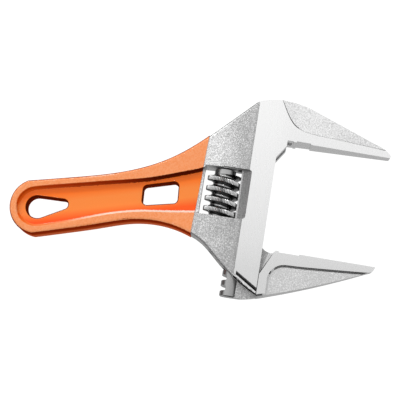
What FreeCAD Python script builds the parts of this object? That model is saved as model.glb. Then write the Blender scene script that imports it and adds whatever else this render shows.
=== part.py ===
"""Adjustable wrench with a wide thin jaw: forged frame, dipped handle coating, sliding jaw, worm, pin and spring.

Row frame: +X runs along the handle from its end to the jaws, +Y towards the fixed jaw, +Z up off the side it lies on.
The jaws work in a second frame, turned back by JAW_TILT: u runs out along the jaws and v is the closing direction.
Both frames share their z, and z = 0 is the mid-plane of the forging. Every length is in millimetres.
The jaw stands fully open. The last lines move the whole wrench so that its origin is the bottom centre of its box.
"""

import FreeCAD, Part
import math
import os

from FreeCAD import Vector

# thicknesses, each measured from the mid-plane
STRIP_HALF = 8.5
PANEL_HALF = 7.5
WEB_HALF = 4.1
TIP_HALF = 3.7
NECK_HALF = 3.0
COAT = 0.4

# handle, in x and y
HANG_HOLE_AT = (0.6, -0.3)
HANG_HOLE_R = 5.9
HANG_HOLE_TAIL_R = 2.8
HANG_HOLE_TAIL = 12.9
RECESS_END_AT = (0.4, -0.4)
RECESS_END_R = 10.0
RIM_ROUND = 1.1
RECESS_ROUND = 1.9
LIP_ROUND = 0.3
HOLE_ROUND = 0.6
COAT_END = (78.0, -4.0)
COAT_END_TILT = 17.0

# head, in u and v
JAW_TILT = 15.0
WINDOW = (80.2, 8.8, 98.6, 33.6)
STRIP_LEFT_U = 102.2
STRIP_COVE_R = 7.0
STRIP_COVE_INSET = 1.5
STRIP_FOOT_ROUND = 2.2
FRONT_U = 114.2
JAW_TIP_U = 170.6
TAPER_U = (112.0, 121.0)
FIXED_FACE_V = 51.2
SLIDING_FACE_V = -4.0
TRAVEL = 55.0
FACE_RELIEF = 0.6
FIXED_PANEL_DROP = 0.55
SLIDING_PANEL_DROP = 1.1

# rack bar and worm
BAR_U = 101.0
BAR_R = 4.45
BAR_TOP_V = 12.6
BAR_BOTTOM_V = -29.6
WORM_U = 90.4
WORM_CREST_R = 8.5
WORM_ROOT_R = 5.3
WORM_BOTTOM_V = 9.1
WORM_THREAD_TOP_V = 30.4
WORM_TOP_V = 33.2
THREAD_PITCH = 5.15
THREAD_CREST_V = 10.32
THREAD_HALF_WIDTH = 1.05
THREAD_FLARE = 0.35
RACK_GROOVE_DEPTH = 1.4

# pin and spring
PIN_R = 2.0
PIN_TOP_V = 41.0
PIN_HEAD_R = 2.5
PIN_HEAD_V = (-6.2, 2.0)
SPRING_WIRE_R = 0.4
SPRING_MEAN_R = 2.95
SPRING_SEAT_V = 25.4
SPRING_TURNS = 6

# clearances between moving pieces
SLIDE_GAP = 0.3
THREAD_GAP = 0.2
TURN_GAP = 0.08

FAR = 60.0
MIRROR = Vector(0, 0, 1)


# ---- placing ----

def at(u, v, z=0.0):
    """A point of the jaw frame, in the row's x and y."""
    tilt = math.radians(JAW_TILT)
    return Vector(u * math.cos(tilt) + v * math.sin(tilt), v * math.cos(tilt) - u * math.sin(tilt), z)


def to_row(shape):
    """Turn a shape modelled as (u, v, z) into the row's axes."""
    turned = shape.copy()
    turned.rotate(Vector(0, 0, 0), Vector(0, 0, 1), -JAW_TILT)
    return turned


def stand_on(shape, u, v):
    """Carry a shape modelled about +Z to the line at u that runs along v."""
    placed = shape.copy()
    placed.rotate(Vector(0, 0, 0), Vector(1, 0, 0), -90)
    placed.translate(Vector(u, v, 0))
    return to_row(placed)


# ---- outlines ----

def line(a, b):
    return Part.LineSegment(a, b).toShape()


def arc(a, b, c):
    return Part.Arc(a, b, c).toShape()


def curve(points, start=None, end=None):
    """A smooth curve through points, with optional directions at its ends."""
    spline = Part.BSplineCurve()
    if start is None:
        spline.interpolate(points)
    else:
        spline.interpolate(Points=points, InitialTangent=start, FinalTangent=end)
    return spline.toShape()


def polyline(points):
    return [line(a, b) for a, b in zip(points, points[1:])]


def face_of(edges):
    return Part.Face(Part.Wire(Part.__sortEdges__(edges)))


def slab(face, low, high):
    """The solid between two heights over a flat face."""
    lifted = face.copy()
    lifted.translate(Vector(0, 0, low))
    return lifted.extrude(Vector(0, 0, high - low))


def grown(face, amount):
    """A flat face with its outline moved out, or in where amount is negative, and plain curves for edges."""
    if amount == 0:
        return face
    edges = []
    for edge in face.makeOffset2D(amount).OuterWire.Edges:
        if edge.Curve.TypeId == "Part::GeomOffsetCurve":
            ends = [edge.tangentAt(edge.FirstParameter), edge.tangentAt(edge.LastParameter)]
            points = edge.discretize(max(3, round(edge.Length / 4)))
            edge = curve(points, *ends)
        edges.append(edge)
    return face_of(edges)


def softened(edges, radius, test=lambda box: True):
    """The flat face inside some edges, with the corners that pass a test rounded."""
    plate = slab(face_of(edges), 0, 1)
    corners = edges_where(plate, lambda box: box.ZLength > 0.9 and test(box))
    plate = plate.makeFillet(radius, corners)
    return [f for f in plate.Faces if flat_at(f.BoundBox, 0.0)][0]


def both_sides(shape):
    return [shape, shape.mirror(Vector(0, 0, 0), MIRROR)]


def edges_where(shape, test):
    return [e for e in shape.Edges if test(e.BoundBox)]


def flat_at(box, z):
    return abs(box.ZMin - z) < 1e-4 and abs(box.ZMax - z) < 1e-4


def on_faces(box, half):
    """Whether an edge lies in the top or the bottom face of a slab."""
    return flat_at(box, half) or flat_at(box, -half)


def follows(edge, wire):
    """Whether an edge's middle lies over or under a wire drawn at z = 0."""
    middle = edge.valueAt((edge.FirstParameter + edge.LastParameter) / 2)
    return wire.distToShape(Part.Vertex(middle.x, middle.y, 0))[0] < 0.01


def past_coat(extra):
    """Everything past the slanting line where the handle's coating stops, or a little further on."""
    rest = Part.makeBox(300, 300, 300, Vector(extra, -150, -150))
    rest.rotate(Vector(0, 0, 0), Vector(0, 0, 1), -COAT_END_TILT)
    rest.translate(at(*COAT_END))
    return rest


# ---- forging: handle and head without the raised strip ----

def shank_outline():
    """The handle and the head behind the front face, in x and y."""
    top_end = at(79.6, 47.6)
    head_corner = at(100.9, 68.7)
    bottom_start = Vector(-3.0, -13.3, 0)
    top_start = Vector(-2.3, 12.7, 0)
    top = [top_start, Vector(20, 11.95, 0), Vector(45, 12.05, 0), Vector(63.2, 14.75, 0), Vector(78.7, 20.1, 0), top_end]
    bottom = [at(FRONT_U, -27.1), at(99.6, -18.0), at(91.2, -10.8), at(83.8, -4.5), Vector(74.4, -21.4, 0),
              Vector(60.3, -14.4, 0), Vector(46.5, -11.9, 0), Vector(30, -12.4, 0), Vector(12, -13.0, 0), bottom_start]
    return [
        curve(top, Vector(1, -0.04, 0), head_corner - top_end),
        line(top_end, head_corner),
        arc(head_corner, at(106.0, 70.4), at(112.0, 71.4)),
        line(at(112.0, 71.4), at(FRONT_U, 71.35)),
        line(at(FRONT_U, 71.35), bottom[0]),
        curve(bottom),
        arc(bottom_start, Vector(-12.5, -0.4, 0), top_start),
    ]


def recess_outline():
    """The sunk face of the handle, which runs on into the worm's window."""
    end = Vector(*RECESS_END_AT, 0)
    top = [end + Vector(0, RECESS_END_R, 0), Vector(20, 9.1, 0), Vector(42, 8.3, 0), Vector(58, 7.9, 0),
           Vector(74, 9.0, 0), at(WINDOW[0] + 2, WINDOW[3] - 0.2)]
    bottom = [at(WINDOW[0] + 2, WINDOW[1] + 0.2), Vector(68, -10.8, 0), Vector(50, -8.5, 0), Vector(33, -8.4, 0),
              Vector(18, -9.6, 0), end - Vector(0, RECESS_END_R, 0)]
    return [
        curve(top, Vector(1, 0, 0), Vector(1, 0.35, 0)),
        line(top[-1], bottom[0]),
        curve(bottom, Vector(-1, 0.2, 0), Vector(-1, 0, 0)),
        arc(bottom[-1], end - Vector(RECESS_END_R, 0, 0), top[0]),
    ]


def on_circle(radius, angle):
    return Vector(radius * math.cos(angle), radius * math.sin(angle), 0)


def teardrop():
    """The hanging hole: a large and a small circle joined by their outer tangents."""
    lean = math.acos((HANG_HOLE_R - HANG_HOLE_TAIL_R) / HANG_HOLE_TAIL)
    centre = Vector(*HANG_HOLE_AT, 0)
    tail_centre = centre + Vector(HANG_HOLE_TAIL, 0, 0)
    big = [centre + on_circle(HANG_HOLE_R, a) for a in (lean, math.pi, -lean)]
    tail = [tail_centre + on_circle(HANG_HOLE_TAIL_R, a) for a in (-lean, 0, lean)]
    return [arc(*big), line(big[2], tail[0]), arc(*tail), line(tail[2], big[0])]


def handle_window():
    """The four-sided hole near the head, its ends square to the jaws."""
    corners = [Vector(54.1, 5.0, 0), Vector(72.5, 5.3, 0), Vector(70.3, -6.2, 0), Vector(51.9, -5.3, 0)]
    return softened(polyline(corners + corners[:1]), 2.6)


def shank(grow):
    """Handle and head slab, with every surface moved out by grow."""
    half = PANEL_HALF + grow
    outline = softened(shank_outline(), 2.0, lambda box: box.XMax < 0)
    solid = slab(grown(outline, grow), -half, half)
    if grow > 0:
        solid = solid.cut(past_coat(1.0))
    rim = edges_where(solid, lambda box: on_faces(box, half) and box.XMin < 97 and box.YLength < 40)
    solid = solid.makeFillet(RIM_ROUND + grow, rim)
    floor = WEB_HALF + grow
    recess = grown(face_of(recess_outline()), -grow)
    sunk = slab(recess, floor, floor + FAR)
    sunk = sunk.makeFillet(RECESS_ROUND - grow, edges_where(sunk, lambda box: flat_at(box, floor)))
    solid = solid.cut(both_sides(sunk))
    openings = [grown(face_of(teardrop()), -grow), grown(handle_window(), -grow)]
    solid = solid.cut([slab(opening, -FAR, FAR) for opening in openings])
    outer = edges_where(solid, lambda box: on_faces(box, half) and box.XMin < 80)
    solid = solid.makeFillet(LIP_ROUND + grow, [edge for edge in outer if follows(edge, recess.OuterWire)])
    floor_edges = edges_where(solid, lambda box: on_faces(box, floor))
    holes = [edge for edge in floor_edges if any(follows(edge, opening.OuterWire) for opening in openings)]
    return solid.makeFillet(HOLE_ROUND + grow, holes)


# ---- raised strip, fixed jaw and the fit of both jaws ----

def jaw_slope():
    """The fall of the jaws' outer faces for each millimetre outward."""
    return (STRIP_HALF - TIP_HALF) / (JAW_TIP_U - sum(TAPER_U) / 2)


def above_jaw_face():
    """Everything above the jaws' outer face, which is level over the head and slopes down to the tips."""
    start_u, end_u = TAPER_U
    slope = jaw_slope()
    end_z = STRIP_HALF - slope * (end_u - start_u) / 2
    mid_z = STRIP_HALF - slope * (end_u - start_u) / 8
    far_u = JAW_TIP_U + 10
    level_u = start_u - 20
    start = Vector(start_u, 0, STRIP_HALF)
    end = Vector(end_u, 0, end_z)
    rest = [end, Vector(far_u, 0, end_z - slope * (far_u - end_u)), Vector(far_u, 0, FAR), Vector(level_u, 0, FAR),
            Vector(level_u, 0, STRIP_HALF), start]
    face = face_of([arc(start, Vector((start_u + end_u) / 2, 0, mid_z), end)] + polyline(rest))
    face.translate(Vector(0, -2 * FAR, 0))
    return face.extrude(Vector(0, 4 * FAR, 0))


def flat(points):
    return [Vector(u, v, 0) for u, v in points]


def fixed_jaw_outline():
    """The strip behind the throat, the rounded top and the fixed jaw, in u and v."""
    step_v = FIXED_FACE_V + FACE_RELIEF
    notch_v = FIXED_FACE_V + 0.3
    throat = flat([(JAW_TIP_U - 0.9, FIXED_FACE_V), (130.4, FIXED_FACE_V), (130.4, step_v), (123.2, step_v),
                   (123.2, FIXED_FACE_V), (121.9, FIXED_FACE_V), (121.6, notch_v), (118.6, notch_v), (118.6, 48.6),
                   (FRONT_U, 42.2), (FRONT_U, -25.8), (STRIP_LEFT_U, -18.2), (STRIP_LEFT_U, 69.2)])
    top = flat([(106.0, 70.4), (112.0, 71.4), (120.0, 71.0), (128.0, 69.4), (162.0, 57.2), (167.8, 54.8),
                (JAW_TIP_U - 0.1, 52.6), (JAW_TIP_U, 51.7)])
    return polyline(throat) + [
        arc(throat[-1], top[0], top[1]),
        arc(top[1], top[2], top[3]),
        line(top[3], top[4]),
        arc(top[4], top[5], top[6]),
        arc(top[6], top[7], throat[0]),
    ]


def fixed_panel_outline():
    """The blasted triangle sunk into the fixed jaw, run out past its upper edge."""
    rim = flat([(112.3, 73.0), (117.5, 64.0), (121.9, 59.1), (128.0, 56.7), (138.0, 56.0), (148.0, 55.5), (158.0, 55.0),
                (167.0, 54.5)])
    outside = flat([(175.0, 55.0), (175.0, 90.0), (112.3, 90.0)])
    return [curve(rim), line(rim[-1], outside[0])] + polyline(outside) + [line(outside[-1], rim[0])]


def sliding_jaw_outline():
    """The jaw in front of the head, in u and v."""
    back = FRONT_U + SLIDE_GAP
    step_v = SLIDING_FACE_V - FACE_RELIEF
    points = flat([(back, -27.7), (back, -15.8), (119.9, -5.2), (120.7, SLIDING_FACE_V), (122.4, SLIDING_FACE_V),
                   (122.4, step_v), (132.6, step_v), (132.6, SLIDING_FACE_V), (JAW_TIP_U - 0.2, SLIDING_FACE_V)])
    tip = flat([(JAW_TIP_U - 0.4, -5.0), (167.6, -7.2)])
    return polyline(points) + [
        arc(points[-1], tip[0], tip[1]),
        arc(tip[1], Vector(144.5, -17.1, 0), points[0]),
    ]


def sliding_panel_outline():
    """The blasted triangle sunk into the sliding jaw, run out past its lower edge."""
    rim = flat([(119.0, -30.0), (119.0, -20.0), (120.5, -13.8), (124.0, -10.9), (130.0, -10.0), (143.0, -9.2),
                (156.0, -8.2), (168.0, -7.2)])
    outside = flat([(180.0, -6.2), (180.0, -50.0), (119.0, -50.0)])
    return [line(rim[0], rim[1]), curve(rim[1:]), line(rim[-1], outside[0])] + polyline(outside) + [
        line(outside[-1], rim[0])]


def tapered(solid, panel_edges, drop):
    """Slope both outer faces of a jaw and sink its panel into them, with 45 degree sides."""
    panel = slab(face_of(panel_edges), -drop, FAR)
    panel = panel.makeChamfer(drop + 0.1, edges_where(panel, lambda box: flat_at(box, -drop)))
    panel.rotate(Vector(0, 0, 0), Vector(0, 1, 0), math.degrees(math.atan(jaw_slope())))
    middle_u = sum(TAPER_U) / 2
    panel.translate(Vector(0, 0, STRIP_HALF + jaw_slope() * middle_u))
    return solid.cut(both_sides(above_jaw_face()) + both_sides(panel))


def fixed_jaw():
    solid = slab(face_of(fixed_jaw_outline()), -STRIP_HALF, STRIP_HALF)
    foot = edges_where(solid, lambda box: on_faces(box, STRIP_HALF) and box.YMax < -16)
    solid = solid.makeFillet(STRIP_FOOT_ROUND, foot)
    return tapered(solid, fixed_panel_outline(), FIXED_PANEL_DROP)


def strip_cove():
    """The hollow curve that carries the head's panel up to the strip's left edge, on both sides."""
    sink = 0.03
    centre_z = PANEL_HALF + STRIP_COVE_R - sink
    centre_u = STRIP_LEFT_U - math.sqrt(STRIP_COVE_R ** 2 - (centre_z - STRIP_HALF) ** 2)
    lean = math.asin((STRIP_LEFT_U - centre_u) / STRIP_COVE_R) / 2
    start = Vector(centre_u, 0, PANEL_HALF - sink)
    middle = Vector(centre_u + STRIP_COVE_R * math.sin(lean), 0, centre_z - STRIP_COVE_R * math.cos(lean))
    end = Vector(STRIP_LEFT_U, 0, STRIP_HALF)
    inside = [end, Vector(STRIP_LEFT_U + 1, 0, STRIP_HALF), Vector(STRIP_LEFT_U + 1, 0, WEB_HALF),
              Vector(centre_u, 0, WEB_HALF), start]
    face = face_of([arc(start, middle, end)] + polyline(inside))
    face.translate(Vector(0, -FAR, 0))
    cove = to_row(face.extrude(Vector(0, 3 * FAR, 0)))
    cove = cove.common(slab(grown(face_of(shank_outline()), -STRIP_COVE_INSET), 0, FAR))
    return both_sides(cove)


def front_cuts():
    """Everything cut from the head: worm window and its slopes, rack bore, neck slot and pin hole, in u and v."""
    left, low, right, high = WINDOW
    window = slab(face_of(polyline(flat([(left, low), (right, low), (right, high + 0.5), (left, high - 0.3),
                                         (left, low)]))), -FAR, FAR)
    ledge_u = right + 0.8
    top_u = STRIP_LEFT_U + 1.3
    ledge_z = WEB_HALF + 0.9
    over = (top_u - ledge_u) / 2
    over_z = STRIP_HALF + (STRIP_HALF - ledge_z) / 2
    ramp_face = face_of(polyline([Vector(left + 9, 0, ledge_z), Vector(ledge_u, 0, ledge_z), Vector(top_u, 0, STRIP_HALF),
                                  Vector(top_u + over, 0, over_z), Vector(left + 9, 0, over_z),
                                  Vector(left + 9, 0, ledge_z)]))
    ramp_face.translate(Vector(0, low, 0))
    ramp = ramp_face.extrude(Vector(0, high + 0.5 - low, 0))
    ramp = ramp.makeFillet(1.6, edges_where(ramp, lambda box: box.ZLength > 3 and box.XMin > 98 and box.YLength < 1))
    bore = Part.makeCylinder(BAR_R + SLIDE_GAP, 200, Vector(BAR_U, -100, 0), Vector(0, 1, 0))
    slot_top_v = TRAVEL - 1.7
    slot_face = face_of(polyline(flat([(BAR_U, -FAR), (121.0, -FAR), (121.0, slot_top_v), (113.6, slot_top_v),
                                       (105.2, slot_top_v + 8.4), (BAR_U, slot_top_v + 8.4), (BAR_U, -FAR)])))
    slot = slab(slot_face, -NECK_HALF - SLIDE_GAP, NECK_HALF + SLIDE_GAP)
    along_v = Vector(0, 1, 0)
    pin_hole = Part.makeCylinder(PIN_R + TURN_GAP / 2, PIN_TOP_V + 20, Vector(WORM_U, -19.5, 0), along_v)
    head_hole = Part.makeCylinder(PIN_HEAD_R + TURN_GAP / 2, PIN_HEAD_V[1] + 20, Vector(WORM_U, -20, 0), along_v)
    return [window, bore, slot, pin_hole, head_hole] + both_sides(ramp)


def forging():
    """The one steel piece: handle, head and fixed jaw."""
    solid = shank(0.0).fuse([to_row(fixed_jaw())] + strip_cove())
    return solid.removeSplitter().cut([to_row(c) for c in front_cuts()])


def coating():
    """The dipped skin over the handle."""
    return shank(COAT).cut([past_coat(0.0), shank(0.0)])


# ---- worm, rack, pin and spring ----

def thread(crest_r, gap, start_v, turns):
    """A solid left-handed helical rib about +Z, its crest facing +X at start_v."""
    root_r = WORM_ROOT_R - 0.6
    helix = Part.makeLongHelix(THREAD_PITCH, THREAD_PITCH * turns, root_r)
    crest = THREAD_HALF_WIDTH + gap
    root = crest + THREAD_FLARE
    soft = 0.45
    profile = [Vector(root_r, 0, -root), Vector(crest_r - soft, 0, -crest), Vector(crest_r, 0, -crest + soft),
               Vector(crest_r, 0, crest - soft), Vector(crest_r - soft, 0, crest), Vector(root_r, 0, root)]
    profile.append(profile[0])
    wire = Part.Wire(polyline(profile))
    rib = Part.Wire(helix.Edges).makePipeShell([wire], True, True)
    rib = rib.mirror(Vector(0, 0, 0), Vector(0, 1, 0))
    rib.translate(Vector(0, 0, start_v))
    return rib


def worm():
    """Threaded knurl turned by the thumb, with a plain collar and a seat for its spring."""
    rib = thread(WORM_CREST_R, 0.0, THREAD_CREST_V - THREAD_PITCH, 5)
    zone = Part.makeCylinder(WORM_CREST_R + 1, WORM_THREAD_TOP_V - WORM_BOTTOM_V, Vector(0, 0, WORM_BOTTOM_V))
    core = Part.makeCylinder(WORM_ROOT_R, WORM_TOP_V - WORM_BOTTOM_V, Vector(0, 0, WORM_BOTTOM_V))
    solid = core.fuse(rib.common(zone))
    bore = Part.makeCylinder(PIN_R + TURN_GAP, FAR, Vector(0, 0, 0))
    seat = Part.makeCylinder(SPRING_MEAN_R + SPRING_WIRE_R + 0.25, FAR, Vector(0, 0, SPRING_SEAT_V))
    return stand_on(solid.cut([bore, seat]), WORM_U, 0)


def sliding_jaw():
    """Jaw, neck and rack bar in one forging."""
    jaw = slab(face_of(sliding_jaw_outline()), -STRIP_HALF, STRIP_HALF)
    outer = edges_where(jaw, lambda box: on_faces(box, STRIP_HALF))
    jaw = jaw.makeChamfer(1.0, [e for e in outer if e.BoundBox.XLength > 45 and e.BoundBox.YMin < -20])
    shoulder = edges_where(jaw, lambda box: on_faces(box, STRIP_HALF) and box.XMax < 120 and box.YLength > 10)
    jaw = jaw.makeChamfer(0.4, [e for e in shoulder if e.BoundBox.XLength > 4])
    jaw = tapered(jaw, sliding_panel_outline(), SLIDING_PANEL_DROP)
    top = flat([(BAR_U, 6.2), (105.2, 6.2), (113.6, -2.2), (117.4, -4.8), (121.0, -3.9 - FACE_RELIEF)])
    foot = flat([(121.0, -25.5), (106.5, BAR_BOTTOM_V), (BAR_U, BAR_BOTTOM_V)])
    neck_edges = polyline(top[:3]) + [arc(top[2], top[3], top[4]), line(top[4], foot[0])]
    neck_edges += [arc(foot[0], Vector(113.8, -28.1, 0), foot[1]), line(foot[1], foot[2]), line(foot[2], top[0])]
    neck = slab(face_of(neck_edges), -NECK_HALF, NECK_HALF)
    bar = Part.makeCylinder(BAR_R, BAR_TOP_V - BAR_BOTTOM_V, Vector(BAR_U, BAR_BOTTOM_V, 0), Vector(0, 1, 0))
    bar = bar.makeChamfer(0.5, edges_where(bar, lambda box: box.YLength < 0.01))
    solid = to_row(jaw.fuse([neck, bar]))
    turns = 12
    rib = thread(WORM_CREST_R + RACK_GROOVE_DEPTH, THREAD_GAP, THREAD_CREST_V - 9 * THREAD_PITCH, turns)
    clear = Part.makeCylinder(WORM_ROOT_R + 0.9, 3 * FAR, Vector(0, 0, -FAR))
    return solid.cut([stand_on(clear, WORM_U, 0), stand_on(rib, WORM_U, 0)])


def pin():
    """The axle, screwed in from below, with a driver slot in its head."""
    shank_part = Part.makeCylinder(PIN_R, PIN_TOP_V - PIN_HEAD_V[0], Vector(0, 0, PIN_HEAD_V[0]))
    head = Part.makeCylinder(PIN_HEAD_R, PIN_HEAD_V[1] - PIN_HEAD_V[0], Vector(0, 0, PIN_HEAD_V[0]))
    groove = Part.makeBox(10, 0.8, 1.2, Vector(-5, -0.4, PIN_HEAD_V[0]))
    solid = shank_part.fuse(head).cut(groove)
    return stand_on(solid, WORM_U, 0)


def spring():
    """The compression spring that keeps the worm from turning by itself."""
    top_v = WINDOW[3] - SPRING_WIRE_R - 0.05
    bottom_v = SPRING_SEAT_V + SPRING_WIRE_R + 0.05
    height = top_v - bottom_v
    helix = Part.makeLongHelix(height / SPRING_TURNS, height, SPRING_MEAN_R)
    ring = Part.Wire(Part.makeCircle(SPRING_WIRE_R, Vector(SPRING_MEAN_R, 0, 0), Vector(0, 1, 0)))
    coil = Part.Wire(helix.Edges).makePipeShell([ring], True, True)
    coil.translate(Vector(0, 0, bottom_v))
    return stand_on(coil, WORM_U, 0)


def main():
    os.makedirs("parts", exist_ok=True)
    pieces = {
        "body": forging(),
        "handle_coating": coating(),
        "sliding_jaw": sliding_jaw(),
        "worm": worm(),
        "worm_pin": pin(),
        "worm_spring": spring(),
    }
    boxes = [piece.optimalBoundingBox(True) for piece in pieces.values()]
    middle_x = (min(box.XMin for box in boxes) + max(box.XMax for box in boxes)) / 2
    middle_y = (min(box.YMin for box in boxes) + max(box.YMax for box in boxes)) / 2
    shift = Vector(-round(middle_x, 3), -round(middle_y, 3), STRIP_HALF)
    for name, piece in pieces.items():
        piece.translate(shift)
        piece.exportStep("parts/" + name + ".step")
    return shift


main()
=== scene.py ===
"""Looks for the adjustable wrench: finishes for its faces, a knurled worm, camera and light.

Lengths are in metres in the row's frame. The jaws lie at a slant: u runs out along them and v is the way
they close. Both are counted from the centre of the handle's end.
"""

import math

import bmesh
import bpy
from mathutils import Matrix, Vector


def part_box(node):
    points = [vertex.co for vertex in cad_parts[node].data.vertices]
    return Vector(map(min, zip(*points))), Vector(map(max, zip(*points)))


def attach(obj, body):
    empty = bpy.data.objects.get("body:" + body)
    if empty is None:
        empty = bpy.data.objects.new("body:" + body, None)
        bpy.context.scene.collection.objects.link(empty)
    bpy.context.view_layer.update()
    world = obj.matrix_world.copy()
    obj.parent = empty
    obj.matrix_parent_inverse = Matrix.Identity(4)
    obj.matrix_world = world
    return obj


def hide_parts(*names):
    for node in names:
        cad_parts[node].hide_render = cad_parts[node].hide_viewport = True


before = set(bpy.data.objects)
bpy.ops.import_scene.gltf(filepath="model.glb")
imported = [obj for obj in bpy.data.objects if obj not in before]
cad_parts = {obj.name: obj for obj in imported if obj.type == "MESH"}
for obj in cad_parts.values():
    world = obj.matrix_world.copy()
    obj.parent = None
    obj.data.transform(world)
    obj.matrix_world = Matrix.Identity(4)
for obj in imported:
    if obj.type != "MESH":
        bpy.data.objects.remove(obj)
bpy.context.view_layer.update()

MM = 0.001
JAW_TILT = math.radians(15)
HALF_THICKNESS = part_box("body")[1].z / 2
HANDLE_CENTRE = Vector((-82.736, 8.015, 0)) * MM
ALONG = Vector((math.cos(JAW_TILT), -math.sin(JAW_TILT), 0))
CLOSING = Vector((math.sin(JAW_TILT), math.cos(JAW_TILT), 0))
RIGHT = Vector((1, 0, 0))
UP = Vector((0, 0, 1))
MIDDLE = HANDLE_CENTRE + UP * HALF_THICKNESS


# ---- node helpers ----

def map_range(tree, source, *limits):
    """Carry a value from one range, its low and high, to another."""
    node = tree.nodes.new("ShaderNodeMapRange")
    tree.links.new(source, node.inputs["Value"])
    for name, number in zip(("From Min", "From Max", "To Min", "To Max"), limits):
        node.inputs[name].default_value = number
    return node.outputs["Result"]


class Graph:
    """A material's node tree, with short calls for the nodes used here."""

    def __init__(self, name):
        self.material = bpy.data.materials.new(name)
        self.material.use_nodes = True
        self.tree = self.material.node_tree
        self.shader = self.tree.nodes["Principled BSDF"]
        self.place = self.tree.nodes.new("ShaderNodeTexCoord").outputs["Object"]

    def add(self, kind, **settings):
        node = self.tree.nodes.new(kind)
        for key, value in settings.items():
            setattr(node, key, value)
        return node

    def link(self, source, target):
        self.tree.links.new(source, target)

    def put(self, socket, value):
        if isinstance(value, bpy.types.NodeSocket):
            self.link(value, socket)
        else:
            socket.default_value = value

    def math(self, operation, a, b=0.0):
        node = self.add("ShaderNodeMath", operation=operation)
        self.put(node.inputs[0], a)
        self.put(node.inputs[1], b)
        return node.outputs[0]

    def noise(self, scale, detail=2.0, rough=0.5, place=None):
        node = self.add("ShaderNodeTexNoise")
        self.link(place or self.place, node.inputs["Vector"])
        node.inputs["Scale"].default_value = scale
        node.inputs["Detail"].default_value = detail
        node.inputs["Roughness"].default_value = rough
        return node.outputs["Fac"]

    def stretched(self, factors, turn):
        node = self.add("ShaderNodeMapping")
        self.link(self.place, node.inputs["Vector"])
        node.inputs["Rotation"].default_value = (0, 0, turn)
        node.inputs["Scale"].default_value = factors
        return node.outputs["Vector"]

    def ramp(self, value, stops):
        node = self.add("ShaderNodeValToRGB")
        self.put(node.inputs["Fac"], value)
        elements = node.color_ramp.elements
        while len(elements) < len(stops):
            elements.new(0.5)
        for element, (position, colour) in zip(elements, stops):
            element.position = position
            element.color = (*colour, 1.0)
        return node.outputs["Color"]

    def spread(self, value, *limits):
        return map_range(self.tree, value, *limits)

    def bump(self, height, strength, distance):
        node = self.add("ShaderNodeBump")
        node.inputs["Strength"].default_value = strength
        node.inputs["Distance"].default_value = distance
        self.link(height, node.inputs["Height"])
        return node.outputs["Normal"]

    def along(self, direction, origin):
        """The signed distance of the shaded point past an origin, along a direction."""
        node = self.add("ShaderNodeVectorMath", operation="DOT_PRODUCT")
        self.link(self.place, node.inputs[0])
        node.inputs[1].default_value = direction
        return self.math("SUBTRACT", node.outputs["Value"], direction.dot(origin))

    def set(self, **values):
        for name, value in values.items():
            self.put(self.shader.inputs[name.replace("_", " ")], value)


# ---- materials ----

def grey(tone):
    return (tone, tone, tone)


def blasted_steel(name, low, high, grain, relief, outward=0.0, downward=0.0):
    """Shot-blasted plated steel: a sandy grain in tone and relief, with painted shade that makes it darker
    outward and downward.
    """
    g = Graph(name)
    fine = g.noise(grain, 2.0, 0.6)
    broad = g.noise(60.0, 2.0)
    mixed = g.math("ADD", g.math("MULTIPLY", fine, 0.85), g.math("MULTIPLY", broad, 0.15))
    # Painted shade: the tone is lowered outward along the jaws, towards the strip, and downward across them.
    painted_shade_outward = g.spread(g.along(ALONG, HANDLE_CENTRE), 84 * MM, 102 * MM, 0.0, outward)
    painted_shade_downward = g.spread(g.along(CLOSING, HANDLE_CENTRE), 0.0, 45 * MM, downward, 0.0)
    mixed = g.math("SUBTRACT", g.math("SUBTRACT", mixed, painted_shade_outward), painted_shade_downward)
    g.set(Base_Color=g.ramp(mixed, [(0.36, grey(low)), (0.64, grey(high))]))
    g.set(Metallic=0.85, Roughness=g.spread(fine, 0.3, 0.7, 0.38, 0.55))
    g.set(Normal=g.bump(fine, relief, 0.00012))
    return g.material


def polished_steel(name, tone):
    """Fine-ground plated steel, its grinding lines along the row's y, with painted shade that makes it darker
    downward.
    """
    g = Graph(name)
    lines = g.noise(900.0, 2.0, 0.6, g.stretched((1.0, 0.03, 1.0), JAW_TILT))
    wander = g.math("MULTIPLY", g.math("SUBTRACT", g.noise(35.0, 2.0), 0.5), 0.1)
    # Painted shade: a ramp over v makes the steel darker downward.
    height = g.spread(g.along(CLOSING, HANDLE_CENTRE), -15 * MM, 60 * MM, 0.0, 1.0)
    painted_shade_shares = [(0.0, 0.78), (0.2, 0.86), (0.6, 0.94), (1.0, 0.97)]
    stops = [(at, grey(tone * share)) for at, share in painted_shade_shares]
    g.set(Base_Color=g.ramp(g.math("ADD", height, wander), stops))
    g.set(Metallic=0.9, Roughness=g.spread(lines, 0.3, 0.7, 0.24, 0.32))
    g.set(Normal=g.bump(lines, 0.05, 0.00002))
    return g.material


def painted_highlight_edge():
    """A painted highlight: a pale, matt edge."""
    g = Graph("painted_highlight_edge")
    g.set(Base_Color=(0.72, 0.72, 0.72, 1), Metallic=0.1, Roughness=0.6)
    return g.material


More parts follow.
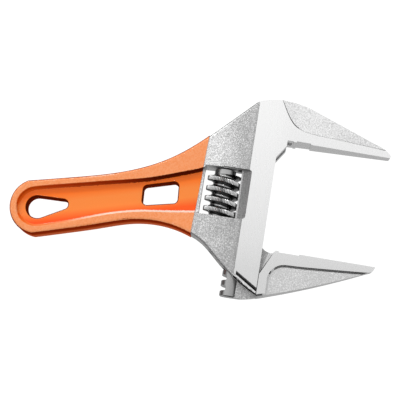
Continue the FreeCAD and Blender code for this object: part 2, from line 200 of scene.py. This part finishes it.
def orange_dip():
    """Thick glossy lacquer with painted light: a pale painted sheen on the handle's rim, and across the
    recess a paler painted reflection in the middle with painted shade deepening the tone towards its edges.
    """
    g = Graph("orange_dip")
    height = g.math("ABSOLUTE", g.along(UP, UP * HALF_THICKNESS))
    across = g.spread(g.along(Vector((0, 1, 0)), HANDLE_CENTRE), -10 * MM, 10 * MM, 0.0, 1.0)
    low, warm, high = (0.93, 0.095, 0.0), (0.93, 0.24, 0.035), (0.97, 0.165, 0.0)
    # Painted light across the recess: paler in the middle as a painted reflection, deeper towards the edges
    # as painted shade.
    recess_painted_light = g.ramp(across, [(0.10, low), (0.32, warm), (0.56, warm), (0.76, high)])
    grain = g.noise(1500.0, 2.0)
    # Painted sheen: the rim's orange is paler than the recess's.
    rim_painted_sheen = g.ramp(grain, [(0.35, (0.90, 0.27, 0.08)), (0.65, (0.95, 0.36, 0.15))])
    # The mix by height puts the painted sheen on the rim and the recess's painted light lower down.
    mix = g.add("ShaderNodeMix", data_type="RGBA")
    g.link(g.spread(height, 5.2 * MM, 7.4 * MM, 0.0, 1.0), mix.inputs["Factor"])
    colours = [socket for socket in mix.inputs if socket.type == "RGBA"]
    g.link(recess_painted_light, colours[0])
    g.link(rim_painted_sheen, colours[1])
    result = [socket for socket in mix.outputs if socket.type == "RGBA"][0]
    g.set(Base_Color=result, Roughness=0.35, Specular_IOR_Level=0.15)
    g.set(Coat_Weight=0.3, Coat_Roughness=0.04)
    g.set(Normal=g.bump(g.noise(160.0, 1.0), 0.05, 0.0002))
    return g.material


def painted_light_dip(name, direction, stops):
    """Painted light on the lacquer of a wall: its tone, set by the distance past MIDDLE, which stops give in
    millimetres, paints shade and highlight onto the wall.
    """
    g = Graph(name)
    wander = g.math("MULTIPLY", g.math("SUBTRACT", g.noise(90.0, 3.0), 0.5), 2 * MM)
    place = g.math("ADD", g.along(direction, MIDDLE), wander)
    first, last = stops[0][0], stops[-1][0]
    fraction = g.spread(place, first * MM, last * MM, 0.0, 1.0)
    stops = [((at - first) / (last - first), colour) for at, colour in stops]
    g.set(Base_Color=g.ramp(fraction, stops))
    g.set(Roughness=0.5, Specular_IOR_Level=0.0)
    return g.material


def worm_steel():
    """Machined steel with painted shade: its tone, set by the distance from the axis, is dark on the flanks
    and in the knurls, and lighter on the root and the crest.
    """
    g = Graph("worm_steel")
    beside = g.along(ALONG, MIDDLE + ALONG * WORM_U)
    above = g.along(UP, MIDDLE)
    square = g.math("ADD", g.math("MULTIPLY", beside, beside), g.math("MULTIPLY", above, above))
    radius = g.spread(g.math("SQRT", square), ROOT_R, CREST_R, 0.0, 1.0)
    # Painted shade on the flanks and in the knurl grooves.
    painted_shade_tones = [(0.0, 0.42), (0.03, 0.34), (0.10, 0.14), (0.30, 0.07), (0.85, 0.12), (0.92, 0.20),
             (0.985, 0.80)]
    g.set(Base_Color=g.ramp(radius, [(at, grey(tone)) for at, tone in painted_shade_tones]))
    g.set(Metallic=1.0, Roughness=g.spread(g.noise(1500.0, 3.0, 0.6), 0.3, 0.7, 0.15, 0.3))
    return g.material


def dark_wire():
    """Drawn spring wire."""
    g = Graph("dark_wire")
    fine = g.noise(2500.0, 2.0)
    g.set(Base_Color=g.ramp(fine, [(0.3, (0.16, 0.16, 0.17)), (0.7, (0.26, 0.26, 0.27))]))
    g.set(Metallic=0.9, Roughness=0.35)
    return g.material


# ---- camera, floor and light ----

def camera():
    """A long lens, leaning a little towards the sliding jaw and turned so the handle dips to the left."""
    distance = 0.650
    lean = math.radians(9.5)
    side = math.radians(1.0)
    turn = Matrix.Rotation(math.radians(-6.0), 3, "Z")
    target = HANDLE_CENTRE + Vector((81.4, -4.78, 0)) * MM + UP * HALF_THICKNESS
    back = Vector((math.sin(side), -math.sin(lean), 0))
    back.z = math.sqrt(1 - back.length_squared)
    right = Vector((0, 1, 0)).cross(back).normalized()
    up = back.cross(right)
    axes = Matrix([turn @ right, turn @ up, turn @ back]).transposed()
    data = bpy.data.cameras.new("camera")
    data.sensor_width = 36.0
    data.lens = 117.0
    data.clip_end = 20.0
    eye = bpy.data.objects.new("camera", data)
    eye.matrix_world = Matrix.Translation(target + axes.col[2] * distance) @ axes.to_4x4()
    bpy.context.scene.collection.objects.link(eye)
    bpy.context.scene.camera = eye


def floor():
    """A pale light table, so that the wrench stands in an even white field."""
    mesh = bpy.data.meshes.new("floor")
    edge = 3.0
    corners = [(-edge, -edge, 0), (edge, -edge, 0), (edge, edge, 0), (-edge, edge, 0)]
    mesh.from_pydata(corners, [], [(0, 1, 2, 3)])
    plane = bpy.data.objects.new("floor", mesh)
    plane.location.z = -0.0001
    bpy.context.scene.collection.objects.link(plane)
    g = Graph("pale_floor")
    g.set(Base_Color=(0.12, 0.12, 0.12, 1), Roughness=1.0, Specular_IOR_Level=0.0)
    g.set(Emission_Color=(1, 1, 1, 1), Emission_Strength=1.0)
    mesh.materials.append(g.material)
    plane.visible_glossy = False


def area_light(name, place, size, power):
    """A rectangular lamp aimed at the row's origin."""
    data = bpy.data.lights.new(name, "AREA")
    data.shape = "RECTANGLE"
    data.size, data.size_y = size
    data.energy = power
    lamp = bpy.data.objects.new(name, data)
    lamp.location = place
    lamp.rotation_euler = (-Vector(place)).to_track_quat("-Z", "Y").to_euler()
    bpy.context.scene.collection.objects.link(lamp)


def studio():
    """A room with a dark horizon, a ceiling that fades towards the near side, a pale ground and two lamps."""
    world = bpy.data.worlds.new("studio")
    bpy.context.scene.world = world
    world.use_nodes = True
    tree = world.node_tree
    place = tree.nodes.new("ShaderNodeTexCoord")
    split = tree.nodes.new("ShaderNodeSeparateXYZ")
    tree.links.new(place.outputs["Generated"], split.inputs["Vector"])

    def fade(axis, *limits):
        return map_range(tree, split.outputs[axis], *limits)

    def combine(operation, a, b):
        node = tree.nodes.new("ShaderNodeMath")
        node.operation = operation
        tree.links.new(a, node.inputs[0])
        tree.links.new(b, node.inputs[1])
        return node.outputs[0]

    ceiling = combine("MULTIPLY", fade("Z", 0.2, 0.6, 0.03, 1.0), fade("Y", -0.5, 0.7, 0.45, 1.5))
    ground = fade("Z", -0.75, -0.25, 0.50, 0.0)
    tree.links.new(combine("ADD", ceiling, ground), tree.nodes["Background"].inputs["Strength"])
    tree.nodes["Background"].inputs["Color"].default_value = (1, 1, 1, 1)
    area_light("key", (-0.2, 1.0, 0.8), (0.9, 0.08), 4.0)
    area_light("front", (-0.3, -0.5, 1.0), (0.3, 0.1), 1.5)
    bpy.context.scene.view_settings.view_transform = "Standard"


# ---- faces of the CAD pieces ----

def finish_faces(obj, materials, choose):
    """Give each face of a CAD piece one of several finishes, by its centre and normal."""
    mesh = obj.data
    mesh.materials.clear()
    for material in materials:
        mesh.materials.append(material)
    for polygon in mesh.polygons:
        polygon.material_index = choose(polygon.center, polygon.normal)


def weighted(obj):
    """Shade the large flat faces flat, beside the small rounded ones."""
    modifier = obj.modifiers.new("even_shading", "WEIGHTED_NORMAL")
    modifier.keep_sharp = True


# ---- which face has which finish ----

# The dark finish and the window's slope are painted shade, the pale finish a painted highlight, and the rack
# bar's darker tone painted shade.
BLASTED, GROUND, SIDE, PANEL, SLOPE, PAINTED_SHADE, PAINTED_HIGHLIGHT, BAR = range(8)
DIP_FACE, DIP_SIDE, DIP_HOLE, UNDER_LIP, OVER_LIP = range(5)

# Lengths in this section are in millimetres.
STRIP_LEFT_U = 102.2
BAR_RIGHT_U = 106
FRONT_U = 114.3
TAPER_U = 116.5
TIP_U = 170.6
STRIP_HALF = 8.5
TIP_HALF = 3.7
SLOPE_U = (98.5, 103.7)
SLOPE_V = (8.7, 34.3)
EDGE_HEIGHT = 6.8
FLOOR_HEIGHT = 4.6
RECESS_REACH = 11.4
FLARE_X = 60
FLARE_SLOPE = 0.35


def jaw_place(point):
    """A point's u, v and height over the mid-plane."""
    flat = point - HANDLE_CENTRE
    return flat.dot(ALONG) / MM, flat.dot(CLOSING) / MM, abs(point.z - HALF_THICKNESS) / MM


def jaw_surface(u):
    """The height of the jaws' ground outer face."""
    slope = (STRIP_HALF - TIP_HALF) / (TIP_U - TAPER_U)
    return STRIP_HALF - slope * max(0.0, u - TAPER_U)


def forged_finish(centre, normal):
    """A steel face's finish, from its place in the jaw frame and from how level it lies."""
    u, v, height = jaw_place(centre)
    level = abs(normal.z)
    in_slope = SLOPE_U[0] < u < SLOPE_U[1] and SLOPE_V[0] < v < SLOPE_V[1]
    # The window's slope takes a darker blasted steel: painted shade.
    if in_slope and level > 0.3 and (level < 0.97 or height < 5):
        return SLOPE
    # Painted shade: the strip's foot takes the dark finish.
    strip_foot = STRIP_LEFT_U < u < FRONT_U and v < -14
    if strip_foot and 0.25 < level < 0.985 and height > EDGE_HEIGHT:
        return PAINTED_SHADE
    # Painted shade on the shoulder and the fixed panel's side, and a painted highlight on the sliding panel's
    # side.
    if 0.25 < level < 0.9 and height > EDGE_HEIGHT:
        shoulder = FRONT_U < u < 120 and -16 < v < -4.5
        fixed_panel_side = 112 < u < 123 and v > 55
        sliding_panel_side = 118 < u < 121.5 and v < -12
        if shoulder or fixed_panel_side:
            return PAINTED_SHADE
        if sliding_panel_side:
            return PAINTED_HIGHLIGHT
    if u < STRIP_LEFT_U or (height < 7.0 and u < TAPER_U and level > 0.3):
        return BLASTED
    if level > 0.95:
        return GROUND if height > jaw_surface(u) - 0.3 else PANEL
    return GROUND if level > 0.5 else SIDE


def jaw_finish(centre, normal):
    """The sliding jaw's finishes, which add the machined rack bar."""
    u = jaw_place(centre)[0]
    # The rack bar's darker tone is painted shade.
    return BAR if u < BAR_RIGHT_U else forged_finish(centre, normal)


def dip_finish(centre, normal):
    """A coating face's finish: rim and floors, outer side, hole walls, or one of the recess's two walls. The
    outer side, the hole walls and the wall under the upper lip carry painted shade, the wall over the lower
    lip a painted highlight.
    """
    x, y, z = (length / MM for length in (centre - MIDDLE))
    height = abs(z)
    level = abs(normal.z)
    reach = math.hypot(x, y) if x < 0 else abs(y)
    if reach > RECESS_REACH + FLARE_SLOPE * max(0.0, x - FLARE_X):
        return DIP_SIDE if level < 0.75 else DIP_FACE
    if height < FLOOR_HEIGHT:
        return DIP_HOLE if level < 0.85 else DIP_FACE
    if level > 0.93 or abs(normal.y) < 0.2:
        return DIP_FACE
    return UNDER_LIP if normal.y < 0 else OVER_LIP


# ---- worm ----

WORM_U = 90.4 * MM
WORM_BOTTOM_V = 9.1 * MM
WORM_TOP_V = 33.2 * MM
PITCH = 5.15 * MM
CREST_V = 10.32 * MM
CREST_R = 8.5 * MM
ROOT_R = 5.3 * MM
THREAD_TOP_V = 30.4 * MM
KNURLS = 64
KNURL_DEPTH = 0.32 * MM
SMOOTH_ANGLE = math.radians(35)


def thread_profile():
    """Across one pitch: distance from the crest's middle, radius, and share of the knurl's depth."""
    points = [(-PITCH / 2, ROOT_R, 0.0), (-2.2 * MM, 5.36 * MM, 0.0), (-1.9 * MM, 5.6 * MM, 0.0),
              (-1.68 * MM, 6.1 * MM, 0.0), (-1.5 * MM, 6.9 * MM, 0.0), (-1.32 * MM, 7.7 * MM, 0.0),
              (-1.22 * MM, 8.05 * MM, 0.5), (-1.06 * MM, 8.34 * MM, 1.0), (-0.8 * MM, CREST_R, 1.0)]
    return points + [(0.0, CREST_R, 1.0)] + [(-v, r, k) for v, r, k in reversed(points)]


def in_row(x, y, along):
    """A point given about the worm's axis, carried into the row's frame."""
    return MIDDLE + ALONG * WORM_U + ALONG * x - UP * y + CLOSING * along


def cut_flat(mesh, along, keep_above):
    """Cut a mesh square to the worm's axis and close the cut."""
    geometry = mesh.verts[:] + mesh.edges[:] + mesh.faces[:]
    cut = bmesh.ops.bisect_plane(mesh, geom=geometry, dist=1e-7, plane_co=(0, 0, along), plane_no=(0, 0, 1),
                                 clear_inner=keep_above, clear_outer=not keep_above)
    edges = [e for e in cut["geom_cut"] if isinstance(e, bmesh.types.BMEdge)]
    bmesh.ops.holes_fill(mesh, edges=edges)


def new_piece(name, mesh, material):
    data = bpy.data.meshes.new(name)
    bmesh.ops.recalc_face_normals(mesh, faces=mesh.faces)
    mesh.to_mesh(data)
    mesh.free()
    data.materials.append(material)
    for polygon in data.polygons:
        polygon.use_smooth = True
    data.set_sharp_from_angle(angle=SMOOTH_ANGLE)
    piece = bpy.data.objects.new(name, data)
    bpy.context.scene.collection.objects.link(piece)
    return piece


def lathe(mesh, outline, steps):
    """Spin (radius, height) points about the local +Z axis."""
    rings = []
    for radius, height in outline:
        angles = [2 * math.pi * k / steps for k in range(steps)]
        rings.append([mesh.verts.new((radius * math.cos(a), radius * math.sin(a), height)) for a in angles])
    for lower, upper in zip(rings, rings[1:]):
        for k in range(steps):
            n = (k + 1) % steps
            mesh.faces.new((lower[k], lower[n], upper[n], upper[k]))


def worm_piece():
    """A left-handed thread with a knurled crest, cut flat at both ends, under a plain collar."""
    steps_per_knurl = 4
    steps_per_turn = KNURLS * steps_per_knurl
    first_turn, last_turn = -1.0, 4.6
    count = int((last_turn - first_turn) * steps_per_turn) + 1
    mesh = bmesh.new()
    rows = []
    for k in range(count):
        turn = first_turn + k / steps_per_turn
        angle = -2 * math.pi * turn
        middle = CREST_V + PITCH * turn
        groove = KNURL_DEPTH * (0.5 - 0.5 * math.cos(2 * math.pi * k / steps_per_knurl))
        row = []
        for across, radius, share in thread_profile():
            r = radius - groove * share
            row.append(mesh.verts.new((r * math.cos(angle), r * math.sin(angle), middle + across)))
        rows.append(row)
    for a, b in zip(rows, rows[1:]):
        for k in range(len(a) - 1):
            mesh.faces.new((a[k], a[k + 1], b[k + 1], b[k]))
    bmesh.ops.remove_doubles(mesh, verts=mesh.verts, dist=1e-6)
    cut_flat(mesh, WORM_BOTTOM_V, True)
    cut_flat(mesh, THREAD_TOP_V, False)
    edge = 0.35 * MM
    core_r = 0.5 * MM
    pocket_r = 3.6 * MM
    pocket_v = WORM_TOP_V - 4 * MM
    foot_v = THREAD_TOP_V - 0.5 * MM
    collar = [(core_r, foot_v), (ROOT_R, foot_v), (ROOT_R, WORM_TOP_V - edge), (ROOT_R - edge, WORM_TOP_V),
              (pocket_r, WORM_TOP_V), (pocket_r, pocket_v), (core_r, pocket_v)]
    lathe(mesh, collar, 64)
    for vertex in mesh.verts:
        vertex.co = in_row(*vertex.co)
    return new_piece("worm_threads", mesh, worm_metal)


# ---- the scene ----

camera()
floor()
studio()

# The last two numbers of the blasted steels set their painted shade, outward and downward.
steel_blast = blasted_steel("blasted_steel", 0.31, 1.0, 2650.0, 0.6, 0.095, 0.05)
steel_panel = blasted_steel("jaw_panel", 0.55, 0.95, 1900.0, 0.5, 0.0, 0.09)
# Every polished steel here carries the painted shade that darkens it downward.
steel_bright = polished_steel("polished_steel", 0.86)
steel_side = polished_steel("jaw_sides", 0.78)
# The window's slope is a darker copy of the blasted steel: painted shade.
steel_slope_painted_shade = blasted_steel("window_slope_painted_shade", 0.27, 0.66, 2650.0, 0.5)
# The dark edge steel is painted shade.
steel_painted_shade = polished_steel("painted_shade_edge", 0.05)
# The rack bar is machined steel, its darker tone painted shade.
steel_bar_painted_shade = polished_steel("rack_bar_painted_shade", 0.48)
# Painted light on the coating's walls: painted shade on the side band, in the holes and under the upper lip,
# deepening towards the window, and a painted highlight over the lower lip.
dip_side_stops = [(-8, (0.58, 0.16, 0.07)), (-1, (0.55, 0.10, 0.03)), (2.5, (0.30, 0.025, 0.002)),
                  (7.4, (0.24, 0.018, 0.002)), (8, (0.5, 0.07, 0.01))]
hole_painted_shade_stops = [(-5, (0.20, 0.02, 0.003)), (5, (0.12, 0.012, 0.002))]
under_lip_painted_shade_stops = [(-10, (0.85, 0.14, 0.01)), (12, (0.60, 0.08, 0.01)), (45, (0.34, 0.035, 0.004)),
                   (62, (0.12, 0.012, 0.001)), (80, (0.12, 0.012, 0.001))]
over_lip_painted_highlight_stops = [(-10, (0.92, 0.16, 0.01)), (14, (0.95, 0.35, 0.15)), (30, (0.95, 0.70, 0.55)),
                  (80, (0.95, 0.72, 0.60))]
dips = [
    orange_dip(),
    painted_light_dip("dip_side_painted_shade", UP, dip_side_stops),
    painted_light_dip("dip_holes_painted_shade", UP, hole_painted_shade_stops),
    painted_light_dip("dip_under_lip_painted_shade", RIGHT, under_lip_painted_shade_stops),
    painted_light_dip("dip_over_lip_painted_highlight", RIGHT, over_lip_painted_highlight_stops),
]
worm_metal = worm_steel()
wire = dark_wire()

steels = [steel_blast, steel_bright, steel_side, steel_panel, steel_slope_painted_shade, steel_painted_shade, painted_highlight_edge(),
          steel_bar_painted_shade]
finish_faces(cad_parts["body"], steels, forged_finish)
finish_faces(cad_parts["sliding_jaw"], steels, jaw_finish)
finish_faces(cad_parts["handle_coating"], dips, dip_finish)
for name, material in (("worm", worm_metal), ("worm_pin", worm_metal), ("worm_spring", wire)):
    finish_faces(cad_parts[name], [material], lambda centre, normal: 0)

knurled = worm_piece()
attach(knurled, "worm")
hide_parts("worm")
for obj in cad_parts.values():
    weighted(obj)
